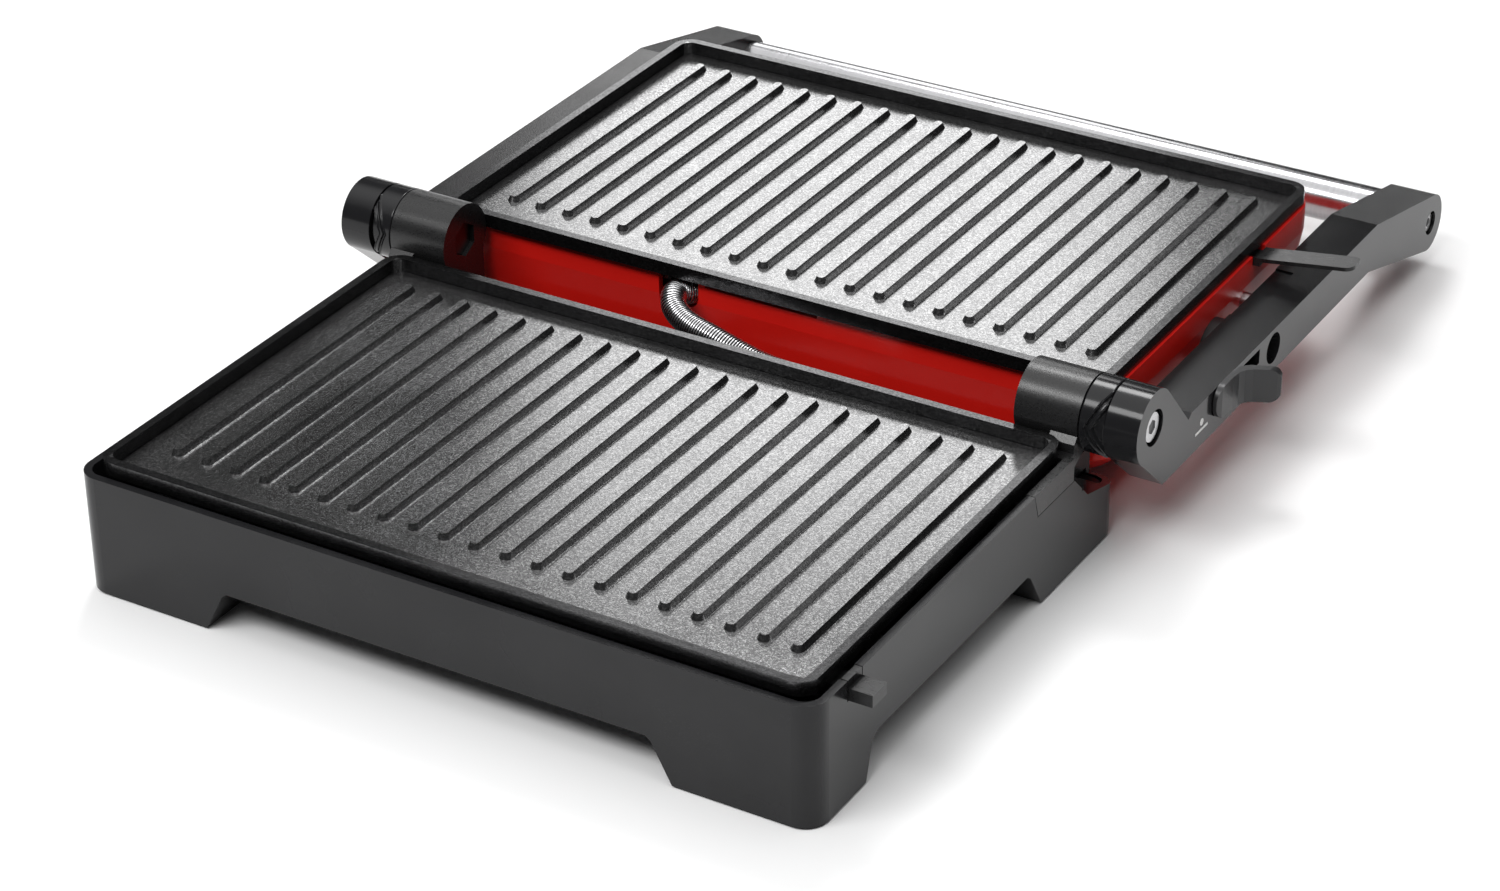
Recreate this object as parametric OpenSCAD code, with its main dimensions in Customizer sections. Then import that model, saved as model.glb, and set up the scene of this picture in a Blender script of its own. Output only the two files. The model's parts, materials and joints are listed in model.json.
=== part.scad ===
// Contact grill that opens flat: a base and a floating lid, each with a ribbed plate.
// +Y runs from the base to the opened lid, +X is the right-hand side, +Z is up.
// Inside place(), X = 0 is the middle of the plates, Y = 0 is the hinge axis and Z = 0 the table.

/* [Plates] */
// Width of each cooking plate
plate_w = 290; // [284:1:291]
// Depth of each cooking plate
plate_d = 182; // [178:1:182]
// Corner radius of a plate
plate_r = 8; // [7:0.5:12]
// Height of the raised rim above the cooking surface
rim_h = 5.2; // [3.5:0.1:5.4]
// Width of the raised rim
rim_w = 3.4; // [2.5:0.1:4]
// Number of ribs on a plate
rib_count = 21; // [15:2:21]
// Spacing of the ribs
rib_pitch = 12.7; // [11:0.1:13]
// Height of a rib
rib_h = 2.3; // [2:0.1:3.5]

/* [Base] */
// Width of the base shell
shell_w = 301; // [300.5:0.1:301.4]
// Depth of the base shell
shell_d = 221.2; // [221:0.1:222]
// Height of the base shell's top edge above the table
shell_top = 48.2; // [47.5:0.1:48.5]
// Corner radius of the base shell
shell_r = 9; // [8:0.5:12]
// Wall thickness of the base shell
shell_wall = 3; // [2.6:0.1:3]
// Height of the notches between the feet
notch_h = 17.4; // [12:0.1:17.4]

/* [Hinge] */
// Height of the hinge axis above the table
hinge_z = 56.3; // [56.2:0.1:56.5]
// Radius of the hinge barrels and knuckles
barrel_r = 14.5; // [14:0.1:14.5]
// Radius of the hinge bolt
bolt_r = 4; // [3.5:0.1:4]
// Radial clearance of a turning pin
run_gap = 0.05; // [0.03:0.01:0.08]

/* [Arms] */
// Height of an arm's top face
arm_top = 46.6; // [46.4:0.1:47]
// Height of an arm's bottom face
arm_bottom = 28.2; // [27:0.1:29]
// Radius of the steel handle bar
handle_r = 9.2; // [8:0.1:9.5]
// Radius of an arm's rounded end
arm_end_r = 12; // [11:0.1:12.5]

/* [Lid] */
// Height of the lid plate's rim above the table when the lid lies open
lid_rim_z = 60.2; // [60:0.1:60.4]
// Height of the lid shell's edge when the lid lies open
lid_top = 54.4; // [54:0.1:54.4]
// Width of the lid shell
lid_w = 292; // [291:0.1:292.4]
// Radius of the lid's pivot pins
pivot_r = 4; // [3.5:0.1:4]

/* [Conduit] */
// Outer diameter of the sprung wiring conduit
conduit_d = 10; // [9:0.5:10]

/* [Hidden] */

// Colours
BLACK_GLOSS = [0.03, 0.03, 0.035];
BLACK_SATIN = [0.07, 0.07, 0.075];
COATING = [0.16, 0.16, 0.165];
RED = [0.72, 0.05, 0.04];
STEEL = [0.72, 0.72, 0.73];
RUBBER = [0.05, 0.05, 0.05];
BRASS = [0.75, 0.6, 0.3];
WHITE = [0.9, 0.9, 0.9];

round_fn = 64;   // facets of a round part in the preview
blend_fn = 32;   // facets of a rounded shell

// Rest heights and places along Y, measured from the hinge axis
lower_rim_z = 52.9;
lower_gap = 16.6;                            // hinge axis to the lower plate's rear edge
upper_gap = 15.8;                            // hinge axis to the upper plate's near edge
lower_y = -lower_gap - plate_d / 2;
upper_y = upper_gap + plate_d / 2;
shell_rear = 17.2;
shell_front = shell_rear - shell_d;
shell_y = (shell_front + shell_rear) / 2;
foot_gap = 0.8;                              // height of the shell's feet above the table
deck_z = 31;                                 // rear deck behind the lower plate
wall_y = -13.5;                              // rear face of the wall in front of the deck
cover_z = 18;
cover_t = 2.4;
inlet = [-118, 10.6];                        // cable inlet in the left rear foot
foot_in_x = 97;                              // inner edge of a foot at the table
foot_in_top = 88;                            // inner edge of a foot at the notch's top

// Plate section, down from the rim
flange_t = 5.5;
plate_t = 3.2;
skirt_h = 11;
skirt_in = 6.5;
skirt_t = 3.5;
rib_base = 5.4;
rib_crest = 3.2;
rib_front = -plate_d / 2 + 22;
rib_rear = plate_d / 2 - 13.6;
hook_low = -9.6;                             // underside of a latch's hook, from the rim
hook_t = 1.6;

// Heating element, from the plate's rim and middle
element_r = 3.3;
element_z = -rim_h - plate_t - element_r - 0.05;
element_x = 112;
element_y = 56;
bend_r = 20;
cold_x = 30;
pan_floor = -19.4;
pan_w = 256;
pan_d = 150;
pan_t = 0.8;

// Hinge line along X
barrel_in = 123;
barrel_out = 148;
ring_in = 148.4;
ring_out = 157.7;
knuckle_in = 158.3;
arm_out = 171.3;
arm_in = 151.8;
recess_r = 7;
recess_x = 166.4;
bush_r = 6;
hex_r = 7.2;
ring_clear = 16.2;

// Arm profile in Y and Z
bend_top_y = 204;
bend_low_y = 198.2;
end_y = 264.5;
end_z = 20.8;
end_tilt = 15.5;
cavity_y0 = 36;
cavity_y1 = 198;
cavity_low = arm_bottom + 2.8;
cavity_top = arm_top - 2.3;
cavity_x = arm_out - 2.8;
arm_cover_t = 2;

// Lid
pivot_y = 105;
pivot_z = 38.4;
pivot_x = 161.5;                             // seat of the pivot pin's head
hub_r = 10;
hub_drop = 4.4;                              // the hub's middle below the pivot
hub_in = 140.6;
hub_out = 151.3;
lid_near = 19.4;
lid_far = 201;
lid_y = (lid_near + lid_far) / 2;
lid_d = lid_far - lid_near;
lid_wall = 2.8;
stop_pin = [134.5, 38.6];
stop_pin_r = 3.2;
stop_play = 0.75;                            // half the travel of the stop pin

// Latches and release
lower_latch_w = 9.2;
upper_latch_w = 10.5;
lower_latch_y = -178.3;
upper_latch_y = 146.3;
latch_tip_x = 136.6;
spring_x0 = 133;
spring_x1 = 140;
upper_spring_back = 1.1;                     // the upper spring stands further in than the lower one
slot_z0 = 38.2;
slot_z1 = 44.2;
knob_z0 = 33.9;
knob_z1 = 47.6;

// The model stands centred over its own outline
latch_reach = 186.3;
knob_reach = 187.3;
shift_x = (arm_out - knob_reach) / 2;
shift_y = (-shell_front - end_y - arm_end_r) / 2;

// Route of the conduit, from inside the lid to inside the base
conduit_route = [
    [-33, 31.6, 45.2], [-33.1, 28.2, 45.3], [-33.9, 24.4, 46], [-35.2, 20.4, 46.9], [-36.8, 16, 48.5],
    [-35.4, 11.4, 48.4], [-31.8, 7, 46.6], [-23.4, 2.6, 44.8], [-9.8, -0.6, 43.4], [4.3, -1.6, 40.2],
    [12.5, -1.8, 38.6], [23.2, -1.8, 37.6], [32, -1.8, 37.4], [39.5, -1.8, 36.2], [43.6, -1.8, 32.8],
    [44.8, -1.8, 28.5], [44.8, -1.8, 24.4]];
conduit_sides = 10;
conduit_steps = 3;
gland = conduit_route[len(conduit_route) - 1];

module place() {
    translate([shift_x, shift_y, 0]) children();
}

module on_side(s) {
    if (s > 0) children();
    else mirror([1, 0, 0]) children();
}

module both_sides() {
    children();
    mirror([1, 0, 0]) children();
}

// Rounded rectangle centred on the origin
module rrect(w, d, r) {
    square([w - 2 * r, d], center = true);
    square([w, d - 2 * r], center = true);
    for (sx = [-1, 1], sy = [-1, 1])
        translate([sx * (w / 2 - r), sy * (d / 2 - r)]) circle(r, $fn = round_fn);
}

module slab(w, d, r, z0, z1) {
    translate([0, 0, z0]) linear_extrude(z1 - z0) rrect(w, d, r);
}

// A cylinder along X between x0 and x1
module rod_x(x0, x1, y, z, r, fn = round_fn) {
    translate([x0, y, z]) rotate([0, 90, 0]) cylinder(r = r, h = x1 - x0, $fn = fn);
}

// A cylinder along Z between z0 and z1
module rod_z(x, y, z0, z1, r, fn = round_fn) {
    translate([x, y, z0]) cylinder(r = r, h = z1 - z0, $fn = fn);
}

// A box given by its low and high corners
module block(low, high) {
    translate(low) cube(high - low);
}

// An outline in Y and Z, extruded from x0 to x1
module profile_x(x0, x1) {
    translate([x0, 0, 0]) rotate([90, 0, 90]) linear_extrude(x1 - x0) children();
}

// An outline in X and Z, extruded from y0 to y1
module profile_y(y0, y1) {
    translate([0, y1, 0]) rotate([90, 0, 0]) linear_extrude(y1 - y0) children();
}

// ---- Plates and heaters, drawn from a plate's middle and rim ----

module ribs() {
    section = [[-rib_base / 2, -0.5], [rib_base / 2, -0.5], [rib_base / 2, 0], [rib_crest / 2, rib_h],
        [-rib_crest / 2, rib_h], [-rib_base / 2, 0]];
    for (i = [0 : rib_count - 1]) translate([(i - (rib_count - 1) / 2) * rib_pitch, 0, 0]) {
        profile_y(rib_front + rib_base / 2, rib_rear - rib_base / 2) polygon(section);
        for (y = [rib_front + rib_base / 2, rib_rear - rib_base / 2]) translate([0, y, 0]) {
            cylinder(r1 = rib_base / 2, r2 = rib_crest / 2, h = rib_h, $fn = round_fn);
            translate([0, 0, -0.5]) cylinder(r = rib_base / 2, h = 0.5, $fn = round_fn);
        }
    }
}

module grill_plate(latch_y, latch_w) {
    difference() {
        union() {
            slab(plate_w, plate_d, plate_r, -flange_t, 0);
            slab(plate_w - 2 * skirt_in, plate_d - 2 * skirt_in, plate_r - 1, -skirt_h, -flange_t + 1);
        }
        slab(plate_w - 2 * rim_w, plate_d - 2 * rim_w, plate_r - rim_w, -rim_h, 1);
        slab(plate_w - 2 * (skirt_in + skirt_t), plate_d - 2 * (skirt_in + skirt_t), plate_r - 4,
            -skirt_h - 1, -rim_h - plate_t);
        block([latch_tip_x - 4, latch_y - latch_w / 2 - 0.4, hook_low - 0.4],
            [plate_w / 2 - skirt_in + 1, latch_y + latch_w / 2 + 0.4, hook_low + hook_t + 0.4]);
    }
    translate([0, 0, -rim_h]) ribs();
}

module element() {
    corner_x = element_x - bend_r;
    corner_y = element_y - bend_r;
    translate([0, 0, element_z]) both_sides() {
        rod_x(cold_x, corner_x, element_y, 0, element_r);
        translate([corner_x, corner_y, 0])
            rotate_extrude(angle = 90, $fn = round_fn) translate([bend_r, 0]) circle(element_r, $fn = round_fn);
        translate([element_x, -corner_y, 0]) rotate([-90, 0, 0])
            cylinder(r = element_r, h = 2 * corner_y, $fn = round_fn);
        translate([corner_x, -corner_y, 0]) rotate([0, 0, -90])
            rotate_extrude(angle = 90, $fn = round_fn) translate([bend_r, 0]) circle(element_r, $fn = round_fn);
        rod_x(0, corner_x, -element_y, 0, element_r);
        sphere_cap();
        rod_z(cold_x, element_y, -14, 0, 2);
    }
}

// Closed end of the element's sheath at each cold pin
module sphere_cap() {
    translate([cold_x, element_y, 0]) sphere(element_r, $fn = round_fn);
}

module element_clamps() {
    for (sx = [-1, 1], sy = [-1, 1])
        translate([sx * 60, sy * element_y, element_z - 1.2])
            difference() {
                translate([-4, -8, -3.2]) cube([8, 16, 7.6]);
                rod_x(-5, 5, 0, 1.2, element_r + 0.05);
                translate([-5, -element_r - 0.05, 1.2]) cube([10, 2 * element_r + 0.1, 5]);
            }
}

module reflector() {
    difference() {
        slab(pan_w, pan_d, 8, pan_floor, pan_floor + 7.2);
        slab(pan_w - 2 * pan_t, pan_d - 2 * pan_t, 8 - pan_t, pan_floor + pan_t, pan_floor + 8);
        for (sx = [-1, 1]) rod_z(sx * cold_x, element_y, pan_floor - 1, pan_floor + 2, 4);
    }
}

module thermostat() {
    rod_z(60, 0, pan_floor - 6.6, pan_floor - 0.6, 8);
    rod_z(60, 0, pan_floor - 0.6, pan_floor, 11);
    for (s = [-1, 1]) block([60 + s * 4 - 1, -3, pan_floor - 12], [60 + s * 4 + 1, 3, pan_floor - 6]);
}

// ---- Base ----

module shell_outline() {
    translate([0, shell_y]) rrect(shell_w, shell_d, shell_r);
}

module cavity_outline(gap = 0) {
    in = 2 * (shell_wall + gap);
    translate([0, shell_y]) rrect(shell_w - in, shell_d - in, shell_r - shell_wall - gap);
}

// Slope of the shell's rear corner beneath the knuckle
module corner_slope() {
    polygon([[-21.3, 70], [-21.3, 40.2], [-8.8, 27.3], [shell_rear + 2, 19.8], [shell_rear + 2, 70]]);
}

module base_body() {
    difference() {
        translate([0, 0, foot_gap]) linear_extrude(shell_top - foot_gap) shell_outline();
        // hollow inside, up to the deck at the rear and open for the plate in front
        intersection() {
            translate([0, 0, notch_h - 0.1]) linear_extrude(60) cavity_outline();
            union() {
                block([-shell_w, shell_front, 0], [shell_w, -24, 70]);
                block([-137, -25, 0], [137, wall_y - 2.1, 70]);
                block([-137, -20, 0], [137, shell_rear, deck_z - 2.5]);
                block([-shell_w, -20, 0], [shell_w, shell_rear, cover_z + cover_t + 0.3]);
            }
        }
        // top of the rear part, behind a wall that stands under the plate's rear edge
        block([-shell_w, wall_y, deck_z], [shell_w, shell_rear + 1, 70]);
        block([-137, wall_y - 3, lower_rim_z - flange_t - 0.4], [137, wall_y + 1, 70]);
        both_sides() profile_x(138.6, shell_w) corner_slope();
        // notches between the feet
        profile_y(shell_front - 1, shell_rear + 1)
            polygon([[-foot_in_x, -1], [foot_in_x, -1], [foot_in_top, notch_h - 1.4], [foot_in_top - 2, notch_h],
                [2 - foot_in_top, notch_h], [-foot_in_top, notch_h - 1.4]]);
        profile_x(-shell_w, shell_w)
            polygon([[-171, -1], [-166.5, 15], [-162.5, notch_h], [-55, notch_h], [-52.5, 15.4], [-42.5, -1]]);
        // hollow feet
        intersection() {
            translate([0, 0, foot_gap + 2.5]) linear_extrude(20) cavity_outline();
            both_sides() {
                block([foot_in_x + 3, shell_front, 0], [shell_w / 2, -174, 30]);
                block([foot_in_x + 3, -39, 0], [shell_w / 2, shell_rear, 30]);
            }
        }
    }
}

module screw_bosses() {
    both_sides() for (y = [-150, -60]) rod_z(141.5, y, cover_z + cover_t, lower_rim_z - skirt_h - 0.02, 4.6);
}

module base_shell() place() color(BLACK_GLOSS) difference() {
    union() {
        base_body();
        screw_bosses();
        // shelf and seat of the latch spring
        block([130.5, lower_latch_y - 5, 29], [shell_w / 2 - 2, lower_latch_y + 5, 31]);
        block([130.5, lower_latch_y - 5, 29], [spring_x0 - 0.2, lower_latch_y + 5, 40]);
        // shelves that carry the hinge brackets
        both_sides() block([126, -50, 23.4], [shell_w / 2 - 2, wall_y - 1, 25.9]);
    }
    both_sides() for (y = [-38, -24]) rod_z(133.6, y, 20, 30, 1.7);
    both_sides() for (y = [-150, -60]) rod_z(141.5, y, cover_z, 30, 1.5);
    // seat of the hinge bracket's flank, and openings for its neck
    both_sides() profile_x(shell_w / 2 - 4, shell_w)
        polygon([[-51.6, 60], [-51.4, 48.2], [-48.5, 38.6], [-20, 38.6], [-20, 60]]);
    both_sides() block([122.4, -24.5, 26], [138.4, 12.6, 60]);
    both_sides() block([136.8, -52, 38.6], [147.2, -12, 60]);
    // slot of the plate latch
    block([shell_w / 2 - 4, lower_latch_y - lower_latch_w / 2 - 0.5, 40.2],
        [shell_w / 2 + 1, lower_latch_y + lower_latch_w / 2 + 0.5, 60]);
    // cable inlet, holes of the rubber feet and conduit opening
    translate([inlet[0], 0, inlet[1]]) rotate([-90, 0, 0]) cylinder(r = 5.5, h = 30, $fn = round_fn);
    both_sides() for (y = [-188, -14]) rod_z(124, y, -1, 6, 3);
    rod_z(gland[0], gland[1], 20, 50, 7);
}

module base_cover() place() color(BLACK_SATIN) difference() {
    union() {
        translate([0, 0, cover_z]) linear_extrude(cover_t) cavity_outline(0.3);
        for (sx = [-1, 1], sy = [-1, 1])
            rod_z(sx * 100, lower_y + sy * 50, cover_z, lower_rim_z + pan_floor, 4);
    }
    both_sides() for (y = [-150, -60]) rod_z(141.5, y, cover_z - 1, 30, 1.9);
    for (i = [-4 : 4]) block([i * 16 - 2, lower_y - 20, cover_z - 1], [i * 16 + 2, lower_y + 20, cover_z + 5]);
    rod_z(inlet[0], -4, cover_z - 1, cover_z + 5, 5);
}

module rubber_feet() place() color(RUBBER) both_sides() for (y = [-188, -14])
    difference() {
        union() {
            rod_z(124, y, 0, foot_gap, 9);
            rod_z(124, y, foot_gap, foot_gap + 3.9, 2.98);
        }
        rod_z(124, y, -1, 0.3, 3);
    }

module base_screws() place() color(STEEL) both_sides() for (y = [-150, -60])
    difference() {
        union() {
            rod_z(141.5, y, cover_z - 2, cover_z, 3.2);
            rod_z(141.5, y, cover_z, 29, 1.45);
        }
        block([140.9, y - 2.4, cover_z - 3], [142.1, y + 2.4, cover_z - 1.2]);
        block([139.1, y - 0.6, cover_z - 3], [143.9, y + 0.6, cover_z - 1.2]);
    }

module at_lower() place() translate([0, lower_y, lower_rim_z]) children();
module at_upper() place() translate([0, upper_y, lid_rim_z]) children();

module lower_plate() at_lower() color(COATING) grill_plate(lower_latch_y - lower_y, lower_latch_w);
module lower_reflector() at_lower() color(STEEL) reflector();
module lower_element() at_lower() color(STEEL) element();
module lower_element_clamps() at_lower() color(STEEL) element_clamps();
module lower_thermostat() at_lower() color(STEEL) thermostat();

module thermal_fuse() at_lower() color(STEEL) {
    rod_x(-66, -54, 0, pan_floor - 2.4, 2.2);
    rod_x(-76, -66, 0, pan_floor - 2.4, 0.5);
    rod_x(-54, -44, 0, pan_floor - 2.4, 0.5);
}

module terminal_block() place() color(WHITE) difference() {
    block([-78, -36, cover_z + cover_t], [-46, -20, cover_z + cover_t + 12]);
    for (i = [-1 : 1]) {
        rod_z(-62 + i * 10, -28, cover_z + cover_t + 5, 40, 2.2);
        translate([-62 + i * 10, -28, cover_z + cover_t + 4]) rotate([90, 0, 0])
            cylinder(r = 1.8, h = 20, center = true, $fn = round_fn);
    }
}

module mains_gland() place() color(BLACK_SATIN)
    translate([inlet[0], shell_rear, inlet[1]]) rotate([-90, 0, 0]) difference() {
        union() {
            cylinder(r = 7.2, h = 2, $fn = round_fn);
            translate([0, 0, -shell_wall - 3]) cylinder(r = 5.45, h = shell_wall + 4, $fn = round_fn);
        }
        translate([0, 0, -20]) cylinder(r = 3.6, h = 40, $fn = round_fn);
    }

// ---- Hinge, drawn on the right-hand side ----

module hinge_bracket(s) place() color(BLACK_SATIN) on_side(s) difference() {
    union() {
        rod_x(barrel_in, barrel_out, 0, hinge_z, barrel_r);
        // neck and foot inside the base
        block([barrel_in, -12, 26], [138, 12, hinge_z - 6]);
        block([129, -47, 26], [138, -12, 40.9]);
        // flank that fills the shell's notch
        block([137, -48, 38.9], [147.6, -20.6, 40.9]);
        profile_x(shell_w / 2 - 3.4, shell_w / 2)
            polygon([[-51.1, 48.2], [-48.2, 38.9], [-20.6, 38.9], [-20.6, 48.2]]);
        profile_x(137.6, barrel_out)
            polygon([[-16.2, 50.5], [-16.2, 46.9], [-21, 46.9], [-21, 40.5], [-19.4, 39], [-8, 45], [0, hinge_z],
                [-13.9, 53]]);
    }
    rod_x(barrel_in - 1, barrel_out + 1, 0, hinge_z, bolt_r + 0.02);
    rod_x(barrel_in - 1, barrel_in + 6.2, 0, hinge_z, hex_r, 6);
    for (y = [-38, -24]) rod_z(133.6, y, 20, 38, 1.6);
}

module bracket_screws() place() color(STEEL) both_sides() for (y = [-38, -24]) {
    rod_z(133.6, y, 21.2, 23.4, 3.2);
    rod_z(133.6, y, 23.4, 37, 1.55);
}

module hinge_bolt(s) place() color(STEEL) on_side(s) {
    rod_x(barrel_in + 2, barrel_in + 6.2, 0, hinge_z, hex_r - 0.25, 6);
    rod_x(barrel_in + 6.2, recess_x + 3.4, 0, hinge_z, bolt_r);
}

// A wedge in X that points towards the barrel, on the ring's upper front
module ring_wedge(grow, r0, r1) {
    translate([0, 0, hinge_z]) rotate([68, 0, 0]) translate([0, 0, r0]) linear_extrude(r1 - r0)
        polygon([[ring_in + 1.6 - grow, 0], [ring_out + 2, 9 + grow * 1.6], [ring_out + 2, -9 - grow * 1.6]]);
}

module stop_ring(s) place() color(BLACK_GLOSS) on_side(s) difference() {
    union() {
        rod_x(ring_in, ring_out, 0, hinge_z, barrel_r);
        intersection() {
            ring_wedge(1.2, 8, barrel_r + 2);
            rod_x(ring_in, ring_out, 0, hinge_z, barrel_r + 0.8);
        }
    }
    ring_wedge(0, barrel_r - 4, barrel_r + 3);
    rod_x(ring_in - 1, ring_out + 1, 0, hinge_z, bolt_r + 0.02);
}

module hinge_washers() place() color(STEEL) both_sides() difference() {
    rod_x(recess_x + 0.3, recess_x + 0.9, 0, hinge_z, 6.2);
    rod_x(recess_x, recess_x + 2, 0, hinge_z, bolt_r + 0.02);
}

module hinge_nuts() place() color(STEEL) both_sides() difference() {
    rod_x(recess_x + 1, recess_x + 3.9, 0, hinge_z, 5.6);
    rod_x(recess_x, recess_x + 3.4, 0, hinge_z, bolt_r + 0.02);
    rod_x(recess_x + 3, recess_x + 5, 0, hinge_z, 2.9, 6);
}

module hinge_bush(s) place() color(WHITE) on_side(s) difference() {
    rod_x(knuckle_in + 0.2, recess_x, 0, hinge_z, bush_r);
    rod_x(knuckle_in - 1, recess_x + 1, 0, hinge_z, bolt_r + run_gap);
}

// ---- Arms ----

function end_point(sign) = [end_y + sign * arm_end_r * sin(end_tilt), end_z + sign * arm_end_r * cos(end_tilt)];
function knuckle_point(a) = [barrel_r * cos(a), hinge_z + barrel_r * sin(a)];

module arm_outline() {
    translate([0, hinge_z]) circle(barrel_r, $fn = round_fn);
    translate([end_y, end_z]) circle(arm_end_r, $fn = round_fn);
    polygon([knuckle_point(-125), [9.4, arm_bottom], [bend_low_y, arm_bottom], end_point(-1), [end_y, end_z],
        end_point(1), [bend_top_y, arm_top], [32, arm_top], [29.5, arm_top - 1.8], knuckle_point(44)]);
}

module handle_bores() {
    rod_x(arm_in - 1, arm_in + 3.2, end_y, end_z, handle_r + 0.1);
    rod_x(arm_in, arm_out + 1, end_y, end_z, 2.2);
    rod_x(arm_out - 5, arm_out + 1, end_y, end_z, 5);
}

module arm_body(release) {
    difference() {
        profile_x(arm_in, arm_out) arm_outline();
        rod_x(arm_in - 1, knuckle_in, 0, hinge_z, ring_clear);
        // nothing of the arm stands between the knuckle and the base
        block([arm_in - 1, -20, 20], [knuckle_in, 14, 80]);
        rod_x(arm_in, recess_x + 1, 0, hinge_z, bush_r + 0.02);
        rod_x(recess_x, arm_out + 1, 0, hinge_z, recess_r);
        block([arm_in - 1, cavity_y0, cavity_low], [cavity_x, cavity_y1, cavity_top]);
        rod_x(arm_in, arm_out + 1, pivot_y, pivot_z, 6.2);
        block([arm_in - 1, 107.5, arm_top - 0.7], [159.3, 150, arm_top + 1]);
        handle_bores();
        if (release) {
            block([cavity_x - 1, 64.5, slot_z0], [arm_out + 1, 92, slot_z1]);
            block([arm_in - 1, 10, 40], [knuckle_in + 0.4, cavity_y0 + 1, cavity_top]);
        }
    }
    // boss round the pivot pin, and the seat of the release spring
    difference() {
        rod_x(arm_in + arm_cover_t + 0.2, pivot_x, pivot_y, pivot_z, 7);
        rod_x(arm_in, arm_out, pivot_y, pivot_z, pivot_r + 0.02);
    }
    difference() {
        block([arm_in + arm_cover_t + 0.2, pivot_y - 9, cavity_low - 0.5],
            [cavity_x + 0.5, pivot_y - 6.5, cavity_top + 0.5]);
        rod_x(arm_in, arm_out, pivot_y, pivot_z, 6.8);
    }
    difference() {
        rod_x(pivot_x - 2, arm_out - 0.4, pivot_y, pivot_z, 7.6);
        rod_x(pivot_x, arm_out, pivot_y, pivot_z, 6.2);
        rod_x(arm_in, arm_out, pivot_y, pivot_z, pivot_r + 0.02);
    }
}

module arm_left() place() color(BLACK_GLOSS) on_side(-1) arm_body(false);
module arm_right() place() color(BLACK_GLOSS) arm_body(true);

module arm_cover(s) place() color(BLACK_SATIN) on_side(s) difference() {
    block([arm_in, cavity_y0 + 0.2, cavity_low + 0.2], [arm_in + arm_cover_t, cavity_y1 - 0.2, cavity_top - 0.2]);
    rod_x(arm_in - 1, arm_in + 5, pivot_y, pivot_z, pivot_r + 0.4);
    rod_x(arm_in - 1, arm_in + 5, stop_pin[0], stop_pin[1] + stop_play, stop_pin_r + stop_play + 0.35);
    for (y = [48, 186]) rod_x(arm_in - 1, arm_in + 5, y, 35, 1.7);
}

module arm_cover_left() arm_cover(-1);
module arm_cover_right() arm_cover(1);

module arm_cover_screws() place() color(STEEL) both_sides() for (y = [48, 186]) {
    rod_x(arm_in + 0.2, arm_in + 1.4, y, 35, 1.65);
    rod_x(arm_in + 1.4, cavity_x, y, 35, 1.4);
}

module pivot_pin(s) place() color(STEEL) on_side(s) difference() {
    union() {
        rod_x(hub_in - 2, pivot_x, pivot_y, pivot_z, pivot_r);
        rod_x(pivot_x, pivot_x + 2.6, pivot_y, pivot_z, 5.8);
    }
    rod_x(pivot_x + 1, pivot_x + 5, pivot_y, pivot_z, 2.9, 6);
}

module handle_bar() place() color(STEEL) difference() {
    rod_x(-arm_in - 3, arm_in + 3, end_y, end_z, handle_r);
    rod_x(-arm_in - 4, arm_in + 4, end_y, end_z, handle_r - 1.2);
}

module handle_end_plugs() place() color(BLACK_SATIN) both_sides() difference() {
    rod_x(arm_in - 22, arm_in + 3, end_y, end_z, handle_r - 1.25);
    rod_x(arm_in - 23, arm_in + 4, end_y, end_z, 1.8);
}

module handle_screws() place() color(STEEL) both_sides() difference() {
    union() {
        rod_x(arm_in - 18, arm_out - 5, end_y, end_z, 1.75);
        rod_x(arm_out - 5, arm_out - 1.3, end_y, end_z, 4);
    }
    rod_x(arm_out - 3, arm_out, end_y, end_z, 2, 6);
}

// A small plain sign for the flat position: a bar with a dot over its middle
module opening_mark() place() color(WHITE) {
    block([arm_out, 36, 34.6], [arm_out + 0.15, 46.6, 35.6]);
    rod_x(arm_out, arm_out + 0.15, 41.3, 38.2, 1.4);
}

// ---- Release slide in the right arm ----

module release_knob() place() color(BLACK_SATIN) {
    intersection() {
        translate([0, 0, knob_z0]) linear_extrude(knob_z1 - knob_z0)
            polygon([[171.7, 50], [173.1, 50], [174, 53], [174.2, 62], [174.6, 66], [175.8, 68.8], [178.2, 70.8],
                [186.2, 74.6], [knob_reach, 75.8], [knob_reach - 0.4, 77.2], [185.4, 77.4], [176, 73.6], [173.2, 71.2],
                [171.7, 67.6]]);
        union() {
            profile_x(171, 176) translate([61, (knob_z0 + knob_z1) / 2]) rrect(22, knob_z1 - knob_z0, 6);
            block([173, 62, knob_z0], [178, 80, knob_z1]);
            profile_y(62, 80) translate([178, (knob_z0 + knob_z1) / 2]) rrect(2 * (knob_reach - 178), knob_z1 - knob_z0, 4);
        }
    }
    block([cavity_x - 6.4, 66, slot_z0 + 0.5], [172.2, 74, slot_z1 - 0.5]);
}

module release_bar() place() color(STEEL) difference() {
    union() {
        block([arm_in + 2.6, 38, 40.4], [cavity_x - 2.6, 78, 43.6]);
        block([arm_in + 2.4, 13.6, 40.5], [knuckle_in - 0.2, 60, 43.7]);
    }
    block([cavity_x - 6.6, 65.8, 40], [cavity_x, 74.2, 44.4]);
}

// A closely wound compression spring as a closed tube
module spring_tube(r, wall, h) {
    difference() {
        cylinder(r = r, h = h, $fn = round_fn);
        translate([0, 0, -1]) cylinder(r = r - wall, h = h + 2, $fn = round_fn);
    }
}

module release_spring() place() color(STEEL)
    translate([161, 78.3, 40.8]) rotate([-90, 0, 0]) spring_tube(3, 0.8, 17.4);

// ---- Lid ----

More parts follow.
